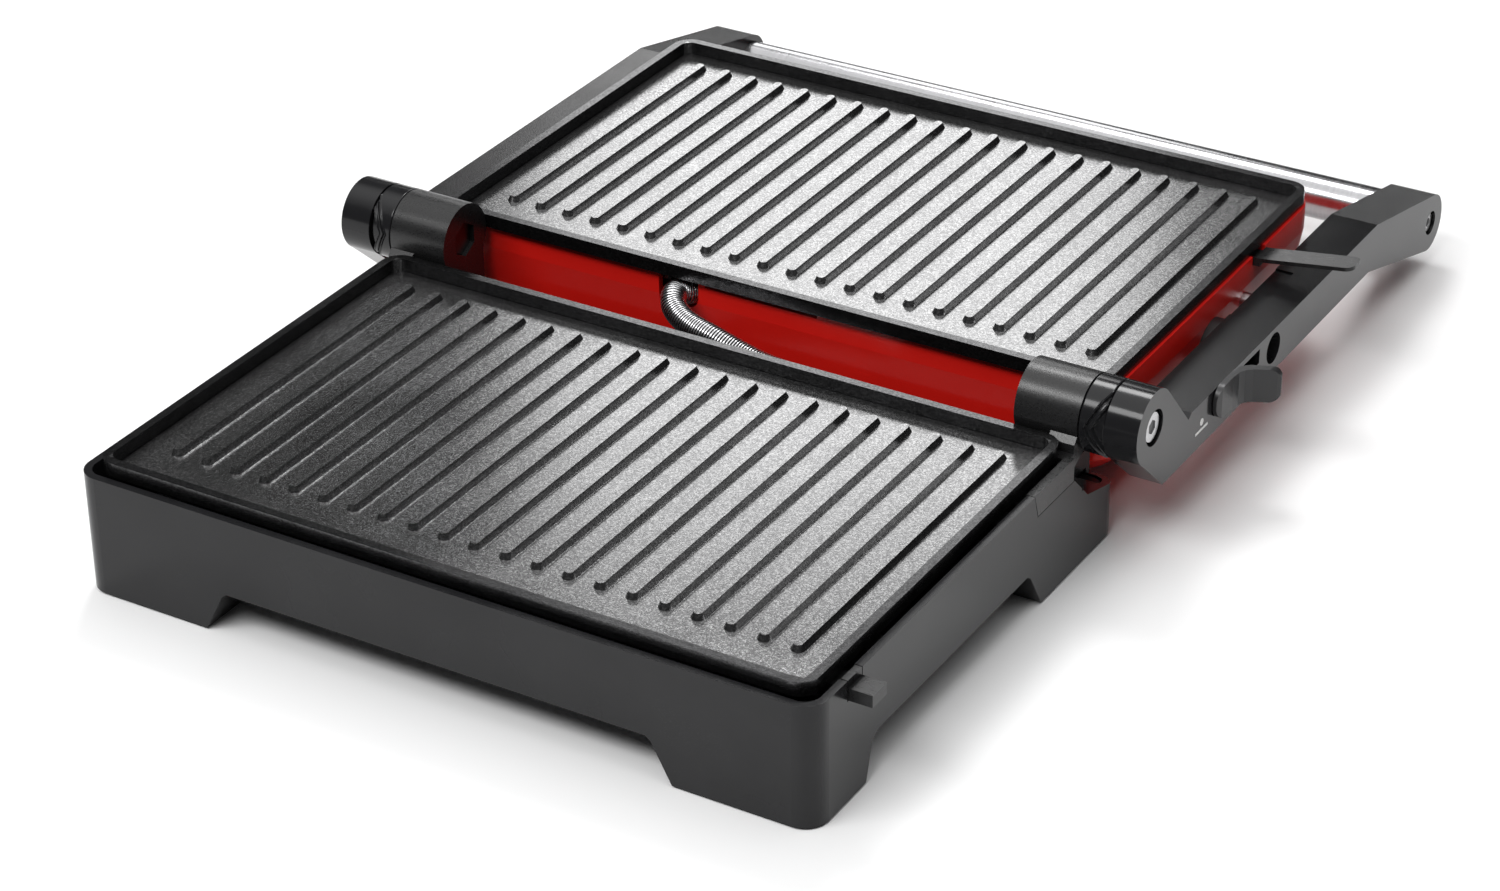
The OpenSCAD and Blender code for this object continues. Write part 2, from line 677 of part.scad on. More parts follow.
module lid_hull(in) {
    top = lid_top + (in > 0 ? 3 : 0);
    hull() {
        translate([0, lid_y, 44]) linear_extrude(top - 44) rrect_blend(lid_w - 2 * in, lid_d - 2 * in, 13 - in);
        translate([0, lid_y, 20]) linear_extrude(1) rrect_blend(lid_w - 6 - 2 * in, lid_d - 6 - 2 * in, 15 - in);
        translate([0, lid_y, 4.6 + in]) rotate([-2.4, 0, 0]) linear_extrude(1)
            rrect_blend(lid_w - 26 - 2 * in, lid_d - 20 - 2 * in, 22 - in);
    }
}

// Rounded rectangle with few facets, for the blended lid
module rrect_blend(w, d, r) {
    square([w - 2 * r, d], center = true);
    square([w, d - 2 * r], center = true);
    for (sx = [-1, 1], sy = [-1, 1])
        translate([sx * (w / 2 - r), sy * (d / 2 - r)]) circle(r, $fn = blend_fn);
}

module lid_shell() place() color(RED) {
    difference() {
        lid_hull(0);
        lid_hull(lid_wall);
        both_sides() rod_x(hub_in - 5, lid_w / 2 + 1, pivot_y, pivot_z - hub_drop, hub_r + 0.02);
        both_sides() rod_x(hub_in - 5, lid_w / 2 + 1, stop_pin[0], stop_pin[1], stop_pin_r);
        // way through for the conduit, and the vent gap beside it
        block([-46.8, lid_near - 2, 41], [-35, lid_near + 6, lid_top + 1]);
        block([-36, lid_near - 2, 46.6], [-29.1, lid_near + 6, lid_top + 1]);
        translate([-35, lid_near - 2, 46.6]) rotate([-90, 0, 0]) cylinder(r = 5.9, h = 8, $fn = round_fn);
        block([-26, lid_near - 2, lid_top - 3], [23, lid_near + 6, lid_top + 1]);
        // window of the plate latch
        block([lid_w / 2 - 8, upper_latch_y - upper_latch_w / 2 - 0.5, 50.2],
            [lid_w / 2 + 1, upper_latch_y + upper_latch_w / 2 + 0.5, lid_top + 1]);
        // recess for the travel of the latch's lug
        block([lid_w / 2 - 5, upper_latch_y - 5.6, 40.8], [lid_w / 2 - 1.2, upper_latch_y + 5.6, 50.3]);
        // holes of the lamps in the outer face, and seats of the rest pads
        for (sx = [-1, 1]) rod_z(sx * 12, 170, -5, 12, 3);
        for (sx = [-1, 1]) rod_z(sx * 100, 184, -5, 3, 7.05);
    }
    // posts beneath the plate
    both_sides() for (y = [50, 172]) rod_z(134, y, 24, lid_rim_z - skirt_h - 0.02, 4);
    // shelf and seat of the latch spring
    translate([-upper_spring_back, upper_latch_y, 0]) {
        block([130.5, -5, 37], [lid_w / 2 - 1.3, 5, 39]);
        block([130.5, -5, 37], [spring_x0 - 0.2, 5, 47.6]);
    }
}

module upper_plate() color(COATING) difference() {
    at_upper() grill_plate(upper_latch_y - upper_y, upper_latch_w);
    // relief for the conduit in the skirt
    place() block([-43, upper_gap + 5, 48], [-27, upper_gap + 11, 53]);
}
module upper_reflector() at_upper() rotate([0, 0, 180]) color(STEEL) reflector();
module upper_element() at_upper() rotate([0, 0, 180]) color(STEEL) element();
module upper_element_clamps() at_upper() rotate([0, 0, 180]) color(STEEL) element_clamps();
module upper_thermostat() at_upper() rotate([0, 0, 180]) color(STEEL) thermostat();

module pivot_hub(s) place() color(BLACK_SATIN) on_side(s) difference() {
    union() {
        rod_x(hub_in, hub_out, pivot_y, pivot_z - hub_drop, hub_r);
        rod_x(hub_in - 1.5, hub_in, pivot_y, pivot_z - hub_drop, hub_r + 1.5);
    }
    rod_x(hub_in - 4, hub_out + 1, pivot_y, pivot_z, pivot_r + run_gap);
}

module float_stop_pins() place() color(STEEL) both_sides() {
    rod_x(139.5, arm_in + 2.4, stop_pin[0], stop_pin[1], stop_pin_r - 0.02);
}

module lid_rest_pads() place() color(RUBBER) for (sx = [-1, 1]) rod_z(sx * 100, 184, 0, 3, 7);

module conduit_lid_clamp() place() color(STEEL)
    translate([conduit_route[0][0], 28.4, conduit_route[0][2]]) difference() {
        union() {
            rotate([-90, 0, 0]) cylinder(r = 6.2, h = 3, $fn = round_fn);
            block([-3, 0, -9], [3, 3, -5.6]);
        }
        translate([0, -1, 0]) rotate([-90, 0, 0]) cylinder(r = conduit_d / 2 + 0.35, h = 5, $fn = round_fn);
    }

module indicator_lamps() place() color(RED) for (sx = [-1, 1]) rod_z(sx * 12, 170, 1.5, 9, 2.95);

// ---- Plate latches ----

module spring_lug(x, y, z0, z1) {
    block([x, y - 5, z0], [x + 2, y + 5, z1]);
}

module lower_latch() place() color(BLACK_SATIN) {
    z = lower_rim_z + hook_low;
    y0 = lower_latch_y - lower_latch_w / 2;
    y1 = lower_latch_y + lower_latch_w / 2;
    block([latch_tip_x, y0, z], [shell_w / 2, y1, z + hook_t]);
    block([shell_w / 2 - 2.6, y0, 40.6], [shell_w / 2, y1, shell_top]);
    block([shell_w / 2 - 1, y0, 40.6], [shell_w / 2 + 9.1, y1, 45.3]);
    spring_lug(spring_x1, lower_latch_y, 34, z + hook_t);
}

module upper_latch() place() color(BLACK_SATIN) {
    z = lid_rim_z + hook_low;
    y0 = upper_latch_y - upper_latch_w / 2;
    y1 = upper_latch_y + upper_latch_w / 2;
    leg = lid_w / 2 + 0.6;
    block([latch_tip_x, y0, z], [leg + 2, y1, z + hook_t]);
    block([leg, y0, z], [leg + 2, y1, 54]);
    intersection() {
        profile_y(y0, y1) polygon([[leg, 52.2], [latch_reach, 57.9], [latch_reach, 59.5], [leg, 53.8]]);
        translate([latch_reach - 40, upper_latch_y, 40]) linear_extrude(30) rrect(80, upper_latch_w, 3.4);
    }
    spring_lug(spring_x1 - upper_spring_back, upper_latch_y, 42, z + hook_t);
}

module latch_spring(x, y, z) {
    translate([x, y, z]) rotate([0, 90, 0]) spring_tube(2.4, 0.7, spring_x1 - spring_x0);
}

module lower_latch_spring() place() color(STEEL) latch_spring(spring_x0, lower_latch_y, 37.6);
module upper_latch_spring() place() color(STEEL)
    latch_spring(spring_x0 - upper_spring_back, upper_latch_y, 44.6);

// ---- Conduit between the base and the lid ----

// A point at fraction t of the smooth curve from b to c
function curve(a, b, c, d, t) = 0.5 * (2 * b + (c - a) * t + (2 * a - 5 * b + 4 * c - d) * t * t
    + (3 * b - a - 3 * c + d) * t * t * t);
function route_point(i) = conduit_route[max(0, min(len(conduit_route) - 1, i))];
conduit_path = concat([for (i = [0 : len(conduit_route) - 2], k = [0 : conduit_steps - 1])
    curve(route_point(i - 1), route_point(i), route_point(i + 1), route_point(i + 2), k / conduit_steps)],
    [gland]);
function unit(v) = v / norm(v);
function heading(i) = unit(conduit_path[min(i + 1, len(conduit_path) - 1)] - conduit_path[max(i - 1, 0)]);
// One side of each ring follows from the last, so the tube doesn't twist
function carried(prev, t) = unit(prev - (prev * t) * t);
function frames(i, prev) = i >= len(conduit_path) ? [] :
    let (n = carried(prev, heading(i))) concat([[heading(i), n]], frames(i + 1, n));

module tube(path, r, sides) {
    f = frames(0, [1, 0, 0.3]);
    rings = len(path);
    points = [for (i = [0 : rings - 1], k = [0 : sides - 1])
        path[i] + r * (cos(360 * k / sides) * f[i][1] + sin(360 * k / sides) * cross(f[i][0], f[i][1]))];
    walls = [for (i = [0 : rings - 2], k = [0 : sides - 1])
        [i * sides + k, (i + 1) * sides + k, (i + 1) * sides + (k + 1) % sides, i * sides + (k + 1) % sides]];
    first = [for (k = [0 : sides - 1]) k];
    last = [for (k = [sides - 1 : -1 : 0]) (rings - 1) * sides + k];
    polyhedron(points, concat([first], walls, [last]));
}

module wiring_conduit() place() color(STEEL) tube(conduit_path, conduit_d / 2, conduit_sides);

module conduit_base_gland() place() color(BLACK_SATIN) difference() {
    union() {
        rod_z(gland[0], gland[1], deck_z - 5, deck_z, 6.9);
        rod_z(gland[0], gland[1], deck_z - 5, deck_z - 2.6, 8.4);
    }
    rod_z(gland[0] - 0.2, gland[1], deck_z - 6, deck_z + 1, conduit_d / 2 + 0.8);
}

base_shell();
base_cover();
rubber_feet();
base_screws();
lower_plate();
lower_reflector();
lower_element();
lower_element_clamps();
lower_thermostat();
thermal_fuse();
terminal_block();
mains_gland();
hinge_bracket(-1);  // hinge_bracket_left
hinge_bracket(1);  // hinge_bracket_right
bracket_screws();
hinge_bolt(-1);  // hinge_bolt_left
hinge_bolt(1);  // hinge_bolt_right
stop_ring(-1);  // stop_ring_left
stop_ring(1);  // stop_ring_right
hinge_washers();
hinge_nuts();
conduit_base_gland();
wiring_conduit();
lower_latch();
lower_latch_spring();
arm_left();
arm_right();
arm_cover_left();
arm_cover_right();
arm_cover_screws();
hinge_bush(-1);  // hinge_bush_left
hinge_bush(1);  // hinge_bush_right
pivot_pin(-1);  // pivot_pin_left
pivot_pin(1);  // pivot_pin_right
handle_bar();
handle_end_plugs();
handle_screws();
opening_mark();
release_knob();
release_bar();
release_spring();
lid_shell();
upper_plate();
upper_reflector();
upper_element();
upper_element_clamps();
upper_thermostat();
pivot_hub(-1);  // pivot_hub_left
pivot_hub(1);  // pivot_hub_right
float_stop_pins();
lid_rest_pads();
conduit_lid_clamp();
indicator_lamps();
upper_latch();
upper_latch_spring();
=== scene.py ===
"""Looks of an open-flat contact grill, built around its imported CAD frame."""
import json
import math

import bpy
from mathutils import Matrix, Vector


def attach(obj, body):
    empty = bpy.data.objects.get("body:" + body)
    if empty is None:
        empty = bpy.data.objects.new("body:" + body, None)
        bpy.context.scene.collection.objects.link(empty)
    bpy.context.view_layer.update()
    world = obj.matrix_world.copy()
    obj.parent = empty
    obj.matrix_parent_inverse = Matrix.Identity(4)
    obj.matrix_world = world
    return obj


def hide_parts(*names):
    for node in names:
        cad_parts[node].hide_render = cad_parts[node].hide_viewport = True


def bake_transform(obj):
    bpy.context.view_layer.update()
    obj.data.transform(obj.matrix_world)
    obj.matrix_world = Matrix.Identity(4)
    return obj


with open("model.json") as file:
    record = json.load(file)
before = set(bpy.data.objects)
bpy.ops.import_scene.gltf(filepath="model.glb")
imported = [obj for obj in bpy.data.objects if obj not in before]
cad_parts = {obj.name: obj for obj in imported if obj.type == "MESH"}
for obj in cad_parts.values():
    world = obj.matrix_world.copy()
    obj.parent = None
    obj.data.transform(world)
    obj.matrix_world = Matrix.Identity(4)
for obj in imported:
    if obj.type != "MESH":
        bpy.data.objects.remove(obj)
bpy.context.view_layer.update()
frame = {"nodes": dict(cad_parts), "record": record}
nodes = frame["nodes"]
scene = bpy.context.scene

MM = 0.001
SHIFT = Vector((-8.0, -36.25, 0))    # the hinge's middle seen from above, in the row's frame, in mm
HINGE_Z = 56.3                       # height of the hinge line over the table, in mm
PLATE_HALF = (0.145, 0.091)          # half width and half depth of a plate, in metres
RIM_WIDTH = 0.0038                   # width of a plate's raised rim, in metres
PLATES_MIDDLE = 0.03665              # the plates' middles stand this far before Y = 0 on average,
PLATES_APART = 0.1072                # and this far each side of that


# ---- Camera and light ----

CAMERA_PLACE = (0.64060, -1.10606, 0.72709)    # metres
CAMERA_ANGLES = (31.0413, 30.1790, -0.6370)    # azimuth, elevation and roll, in degrees
CAMERA_LENS = 91.367                           # mm
SENSOR_WIDTH = 36                              # mm
CLIP_NEAR, CLIP_FAR = 0.05, 30                 # metres

DIM_BELOW, DIM_SKY = 0.62, (0.035, 0.035, 0.036, 1)    # upward direction, and colour from there down
BRIGHT_ABOVE, BRIGHT_SKY = 0.9, (1, 1, 1, 1)           # upward direction, and colour from there up
SKY_STRENGTH = 1.45

AIM = (0, 0, 0.05)        # what the lights face, in metres
LOW_AIM = (0, 0, 0.03)
LIGHTS = (    # name, place, target and size in metres, and power in watts
    ("sheen", (-0.87, 1.57, 0.88), AIM, (0.56, 0.7), 3.9),    # the one that the plates mirror
    ("key", (-0.45, 0.75, 1.35), AIM, (0.45, 0.4), 7),
    ("front_fill", (-0.35, -1.75, 2.1), LOW_AIM, (2.2, 0.7), 46),
)


def make_camera():
    """A centred camera that looks at the press from its front right, above."""
    az, el, ro = (math.radians(angle) for angle in CAMERA_ANGLES)
    back = Vector((math.sin(az) * math.cos(el), -math.cos(az) * math.cos(el), math.sin(el)))
    right = Vector((math.cos(az), math.sin(az), 0))
    up = back.cross(right)
    turned_right = math.cos(ro) * right + math.sin(ro) * up
    turned_up = math.cos(ro) * up - math.sin(ro) * right
    data = bpy.data.cameras.new("camera")
    data.lens = CAMERA_LENS
    data.sensor_width = SENSOR_WIDTH
    data.clip_start, data.clip_end = CLIP_NEAR, CLIP_FAR
    camera = bpy.data.objects.new("camera", data)
    turn = Matrix((turned_right, turned_up, back)).transposed().to_4x4()
    camera.matrix_world = Matrix.Translation(CAMERA_PLACE) @ turn
    scene.collection.objects.link(camera)
    scene.camera = camera


def area_light(name, place, target, size, power):
    """A white rectangular panel that faces its target."""
    data = bpy.data.lights.new(name, "AREA")
    data.shape = "RECTANGLE"
    data.size, data.size_y = size
    data.energy = power
    light = bpy.data.objects.new(name, data)
    direction = Vector(target) - Vector(place)
    turn = direction.to_track_quat("-Z", "Y").to_matrix().to_4x4()
    light.matrix_world = Matrix.Translation(place) @ turn
    scene.collection.objects.link(light)


def make_world():
    """A pale dome, bright overhead and dim towards the horizon."""
    world = bpy.data.worlds.new("studio")
    world.use_nodes = True
    tree = world.node_tree
    tree.nodes.clear()
    out = tree.nodes.new("ShaderNodeOutputWorld")
    shade = tree.nodes.new("ShaderNodeBackground")
    ramp = tree.nodes.new("ShaderNodeValToRGB")
    split = tree.nodes.new("ShaderNodeSeparateXYZ")
    where = tree.nodes.new("ShaderNodeTexCoord")
    ramp.color_ramp.interpolation = "EASE"
    low, high = ramp.color_ramp.elements
    low.position, low.color = DIM_BELOW, DIM_SKY
    high.position, high.color = BRIGHT_ABOVE, BRIGHT_SKY
    tree.links.new(where.outputs["Generated"], split.inputs[0])
    tree.links.new(split.outputs["Z"], ramp.inputs[0])
    tree.links.new(ramp.outputs["Color"], shade.inputs["Color"])
    shade.inputs["Strength"].default_value = SKY_STRENGTH
    tree.links.new(shade.outputs[0], out.inputs[0])
    scene.world = world


make_camera()
make_world()
for light in LIGHTS:
    area_light(*light)
scene.view_settings.view_transform = "Standard"
scene.view_settings.look = "None"
scene.view_settings.exposure = 0
scene.cycles.use_denoising = True


# ---- Materials ----


class Paint:
    """A small builder round one material's node tree."""

    def __init__(self, name, colour, rough, metal=0.0, **sockets):
        self.material = bpy.data.materials.new(name)
        self.material.use_nodes = True
        self.tree = self.material.node_tree
        self.shader = self.tree.nodes["Principled BSDF"]
        self.shader.inputs["Base Color"].default_value = (*colour, 1)
        self.shader.inputs["Roughness"].default_value = rough
        self.shader.inputs["Metallic"].default_value = metal
        for key, value in sockets.items():
            self.shader.inputs[key.replace("_", " ")].default_value = value
        self.coords = self.tree.nodes.new("ShaderNodeTexCoord")
        self.height = None

    def link(self, source, target):
        self.tree.links.new(source, target)

    def mapped(self, stretch):
        node = self.tree.nodes.new("ShaderNodeMapping")
        node.inputs["Scale"].default_value = stretch
        self.link(self.coords.outputs["Object"], node.inputs["Vector"])
        return node.outputs[0]

    def noise(self, scale, detail=3.0, rough=0.55, stretch=(1, 1, 1)):
        node = self.tree.nodes.new("ShaderNodeTexNoise")
        node.inputs["Scale"].default_value = scale
        node.inputs["Detail"].default_value = detail
        node.inputs["Roughness"].default_value = rough
        self.link(self.mapped(stretch), node.inputs["Vector"])
        return node.outputs["Fac"]

    def cells(self, scale, out="Distance"):
        node = self.tree.nodes.new("ShaderNodeTexVoronoi")
        node.inputs["Scale"].default_value = scale
        self.link(self.mapped((1, 1, 1)), node.inputs["Vector"])
        return node.outputs[out]

    def ramp(self, value, stops):
        node = self.tree.nodes.new("ShaderNodeValToRGB")
        elements = node.color_ramp.elements
        while len(elements) < len(stops):
            elements.new(0.5)
        for element, (position, colour) in zip(elements, stops):
            element.position = position
            element.color = (*colour, 1)
        self.link(value, node.inputs[0])
        return node.outputs["Color"]

    def remap(self, value, low, high, from_low=0.3, from_high=0.7):
        node = self.tree.nodes.new("ShaderNodeMapRange")
        node.inputs["From Min"].default_value = from_low
        node.inputs["From Max"].default_value = from_high
        node.inputs["To Min"].default_value = low
        node.inputs["To Max"].default_value = high
        self.link(value, node.inputs["Value"])
        return node.outputs["Result"]

    def math(self, kind, a, b):
        node = self.tree.nodes.new("ShaderNodeMath")
        node.operation = kind
        for socket, value in zip(node.inputs, (a, b)):
            if isinstance(value, (int, float)):
                socket.default_value = value
            else:
                self.link(value, socket)
        return node.outputs[0]

    def mix(self, factor, a, b):
        node = self.tree.nodes.new("ShaderNodeMix")
        node.data_type = "RGBA"
        self.link(factor, node.inputs["Factor"])
        for socket, value in ((node.inputs["A"], a), (node.inputs["B"], b)):
            if isinstance(value, tuple):
                socket.default_value = (*value, 1)
            else:
                self.link(value, socket)
        return node.outputs["Result"]

    def axis(self, output, letter):
        node = self.tree.nodes.new("ShaderNodeSeparateXYZ")
        self.link(self.coords.outputs[output], node.inputs[0])
        return node.outputs[letter]

    def colour(self, value):
        self.link(value, self.shader.inputs["Base Color"])

    def rough(self, value):
        self.link(value, self.shader.inputs["Roughness"])

    def bump(self, value, distance, strength=1.0):
        node = self.tree.nodes.new("ShaderNodeBump")
        node.inputs["Distance"].default_value = distance
        node.inputs["Strength"].default_value = strength
        self.link(value, node.inputs["Height"])
        if self.height is not None:
            self.link(self.height, node.inputs["Normal"])
        self.height = node.outputs[0]
        self.link(self.height, self.shader.inputs["Normal"])


def rim_shade_mask(p):
    """1 on the raised rims of both plates, whose colour is painted darker as shade, 0 on their cooking
    surfaces.
    """
    across = p.math("ABSOLUTE", p.math("ADD", p.axis("Object", "X"), -SHIFT.x * MM), 0)
    along = p.math("ABSOLUTE", p.math("ADD", p.axis("Object", "Y"), PLATES_MIDDLE), 0)
    along = p.math("ABSOLUTE", p.math("SUBTRACT", along, PLATES_APART), 0)
    side = p.math("GREATER_THAN", across, PLATE_HALF[0] - RIM_WIDTH)
    end = p.math("GREATER_THAN", along, PLATE_HALF[1] - RIM_WIDTH)
    return p.math("MAXIMUM", side, end)


def coated_plate():
    """Grey-black non-stick coating with a fine metal fleck; the rims are smoother, and their colour is
    painted darker as shade.
    """
    p = Paint("coated_plate", (0.25, 0.25, 0.252), 0.2, 0.95)
    fleck = p.tree.nodes.new("ShaderNodeSeparateColor")
    p.link(p.cells(2000, out="Color"), fleck.inputs[0])
    grain = p.noise(2000, 4, 0.65)
    cloud = p.noise(28, 3)
    tone = p.math("ADD", p.math("MULTIPLY", fleck.outputs[0], 0.5), p.math("MULTIPLY", grain, 0.5))
    field = p.ramp(tone, [(0.22, (0.14, 0.14, 0.141)), (0.5, (0.21, 0.21, 0.212)),
                          (0.78, (0.38, 0.38, 0.38))])
    # painted shade: the rims take a much darker colour than the cooking surface
    rim_shade = p.ramp(tone, [(0.25, (0.035, 0.035, 0.036)), (0.75, (0.12, 0.12, 0.122))])
    p.colour(p.mix(rim_shade_mask(p), field, rim_shade))
    p.rough(p.math("ADD", p.remap(grain, -0.04, 0.05), p.remap(cloud, 0.17, 0.22)))
    p.bump(p.noise(160, 2), 0.00003, 0.35)
    p.bump(grain, 0.000025, 0.25)
    return p.material


def black_shell():
    """Gloss black moulding with a faint ripple and hairline rubs."""
    p = Paint("black_shell", (0.011, 0.011, 0.012), 0.2, IOR=1.37)
    rub = p.noise(900, 3, 0.6, (1, 1, 9))
    cloud = p.noise(22, 3)
    p.colour(p.ramp(cloud, [(0.3, (0.009, 0.009, 0.01)), (0.7, (0.015, 0.015, 0.016))]))
    p.rough(p.math("ADD", p.remap(cloud, 0.17, 0.25), p.remap(rub, -0.02, 0.03)))
    p.bump(p.noise(55, 2), 0.00012, 0.25)
    p.bump(p.noise(2400, 2), 0.00001, 0.3)
    return p.material


LEVEL_TOP, SLOPE_TOP = 0.056, 0.052    # heights between which an arm's upper face turns textured and its colour is painted darker as shade, in metres


def arm_paint():
    """Black enamel: gloss on the flanks, matt and textured on the arm's upper face, whose colour is
    painted darker there as shade.
    """
    p = Paint("arm_paint", (0.012, 0.012, 0.013), 0.2, IOR=1.38)
    up = p.ramp(p.axis("Normal", "Z"), [(0.8, (0, 0, 0)), (0.95, (1, 1, 1))])
    height = p.axis("Object", "Z")
    low = p.remap(height, 0, 1, LEVEL_TOP, SLOPE_TOP)
    top_finish_and_shade = p.math("MULTIPLY", up, low)
    grain = p.noise(1500, 3, 0.6)
    # painted shade: the arm's upper face is coloured darker than its flanks
    p.colour(p.mix(top_finish_and_shade, (0.012, 0.012, 0.013), (0.008, 0.008, 0.0085)))
    gloss = p.remap(p.noise(35, 3), 0.13, 0.2)
    p.rough(p.math("ADD", p.math("MULTIPLY", top_finish_and_shade, 0.06), gloss))
    p.bump(p.noise(60, 2), 0.0001, 0.2)
    p.bump(p.math("MULTIPLY", grain, top_finish_and_shade), 0.00008, 0.7)
    return p.material


def red_shell():
    """Gloss red enamel over pressed sheet."""
    p = Paint("red_shell", (0.62, 0.012, 0.008), 0.34, Coat_Weight=0.3, Coat_Roughness=0.2)
    cloud = p.noise(14, 3)
    grain = p.noise(1900, 2)
    tone = p.math("ADD", p.math("MULTIPLY", cloud, 0.7), p.math("MULTIPLY", grain, 0.3))
    p.colour(p.ramp(tone, [(0.3, (0.72, 0.01, 0.006)), (0.7, (0.86, 0.016, 0.01))]))
    p.rough(p.remap(grain, 0.28, 0.38))
    p.bump(p.noise(70, 2), 0.0001, 0.2)
    p.bump(grain, 0.00001, 0.4)
    return p.material


def cast_metal():
    """Satin black cast barrel with a fine grain and faint lathe streaks."""
    p = Paint("cast_metal", (0.01, 0.01, 0.0105), 0.3, IOR=1.5)
    grain = p.noise(1900, 4, 0.7)
    streak = p.noise(420, 3, 0.6, (0.08, 1, 1))
    p.colour(p.ramp(grain, [(0.3, (0.007, 0.007, 0.0072)), (0.7, (0.02, 0.02, 0.0205))]))
    p.rough(p.math("ADD", p.remap(grain, 0.24, 0.36), p.remap(streak, -0.03, 0.03)))
    p.bump(streak, 0.00001, 0.4)
    p.bump(grain, 0.00006, 0.6)
    return p.material


def brushed(name, colour, rough, stretch, strength=0.5):
    """Bare steel with brush lines along one axis."""
    p = Paint(name, colour, rough, 1.0)
    lines = p.noise(2600, 4, 0.7, stretch)
    cloud = p.noise(60, 3)
    shade = tuple(c * 0.8 for c in colour)
    p.colour(p.ramp(lines, [(0.3, shade), (0.7, colour)]))
    p.rough(p.math("ADD", p.remap(lines, -0.04, 0.06), p.remap(cloud, rough - 0.03, rough + 0.03)))
    p.bump(lines, 0.00002, strength)
    return p.material


def plastic(name, colour, rough, grain_scale=1400, grain=0.00005):
    """Fine-grained moulded plastic."""
    p = Paint(name, colour, rough)
    tone = p.noise(30, 3)
    fine = p.noise(grain_scale, 3, 0.6)
    low = tuple(c * 0.75 for c in colour)
    high = tuple(min(1, c * 1.2) for c in colour)
    p.colour(p.ramp(tone, [(0.3, low), (0.7, high)]))
    p.rough(p.remap(fine, rough - 0.05, rough + 0.06))
    p.bump(fine, grain, 0.6)
    return p.material


def latch_metal():
    """Satin black lever with a faint rub on its faces."""
    p = Paint("latch_metal", (0.01, 0.01, 0.0105), 0.3, IOR=1.4)
    rub = p.noise(300, 4, 0.7, (1, 6, 1))
    p.colour(p.ramp(rub, [(0.35, (0.007, 0.007, 0.0072)), (0.68, (0.018, 0.018, 0.0185))]))
    p.rough(p.remap(rub, 0.24, 0.38))
    p.bump(p.noise(1500, 3), 0.00003, 0.5)
    return p.material


def lamp_lens():
    """Tinted lens with a moulded ripple."""
    p = Paint("lamp_lens", (0.6, 0.08, 0.03), 0.12, Transmission_Weight=0.5, IOR=1.49)
    ripple = p.cells(900)
    p.colour(p.ramp(ripple, [(0.0, (0.7, 0.12, 0.05)), (1.0, (0.45, 0.05, 0.02))]))
    p.rough(p.remap(ripple, 0.08, 0.2, 0, 1))
    p.bump(ripple, 0.0001, 0.5)
    return p.material


MATERIALS = {
    "coated_plate": coated_plate(),
    "black_shell": black_shell(),
    "arm_paint": arm_paint(),
    "red_shell": red_shell(),
    "cast_metal": cast_metal(),
    "brushed_bar": brushed("brushed_bar", (0.45, 0.45, 0.46), 0.2, (1, 0.03, 0.03)),
    "steel": brushed("steel", (0.62, 0.62, 0.63), 0.3, (1, 0.15, 1)),
    "pan_metal": brushed("pan_metal", (0.72, 0.72, 0.73), 0.36, (1, 0.05, 1)),
    "element_steel": plastic("element_steel", (0.2, 0.19, 0.18), 0.5, 900),
    "dark_steel": brushed("dark_steel", (0.09, 0.09, 0.092), 0.4, (1, 0.15, 1)),
    "latch_metal": latch_metal(),
    "black_plastic": plastic("black_plastic", (0.016, 0.016, 0.017), 0.36),
    "white_plastic": plastic("white_plastic", (0.75, 0.75, 0.74), 0.45),
    "rubber": plastic("rubber", (0.018, 0.018, 0.018), 0.75, 700, 0.0001),
    "lamp_lens": lamp_lens(),
}


# ---- CAD nodes: soft edges, smooth faces and a finish each ----

BEVELS = {    # width of the softened edge in mm; nodes that aren't named use "other"
    "base_shell": 0.7,
    "lid_shell": 0.5,
    "lower_plate": 0.35,
    "upper_plate": 0.35,
    "arm_left": 0.55,
    "arm_right": 0.55,
    "hinge_bracket_left": 0.4,
    "hinge_bracket_right": 0.4,
    "release_knob": 0.5,
    "upper_latch": 0.4,
    "lower_latch": 0.35,
    "handle_bar": 0.3,
    "rubber_feet": 0.3,
    "opening_mark": 0.0,
    "other": 0.2,
}
BEVEL_ANGLE = 32    # edges sharper than this are softened, in degrees
BEVEL_STEPS = 3
FLAT_ANGLE = 0.4    # faces closer than this to level with each other are joined, in degrees

FINISHES = {"hinge_bolt_left": "dark_steel", "hinge_bolt_right": "dark_steel"}    # darker than their slot


def dress_node(name, slot):
    """A CAD node's material, smooth faces and softened edges."""
    node = nodes[name]
    node.data.materials.clear()
    node.data.materials.append(MATERIALS[slot])
    node.data.polygons.foreach_set("material_index", [0] * len(node.data.polygons))
    node.data.polygons.foreach_set("use_smooth", [True] * len(node.data.polygons))
    width = BEVELS.get(name, BEVELS["other"])
    if not width:
        return
    merge = node.modifiers.new("merge", "DECIMATE")
    merge.decimate_type = "DISSOLVE"
    merge.angle_limit = math.radians(FLAT_ANGLE)
    merge.delimit = {"SHARP"}
    bevel = node.modifiers.new("bevel", "BEVEL")
    bevel.limit_method = "ANGLE"
    bevel.angle_limit = math.radians(BEVEL_ANGLE)
    bevel.width = width * MM
    bevel.segments = BEVEL_STEPS
    bevel.use_clamp_overlap = False
    bevel.harden_normals = True
    bevel.miter_outer = "MITER_ARC"


for part in frame["record"]["subparts"]:
    dress_node(part["node"], FINISHES.get(part["node"], part["material_slot"]))


# ---- Sprung wiring conduit ----

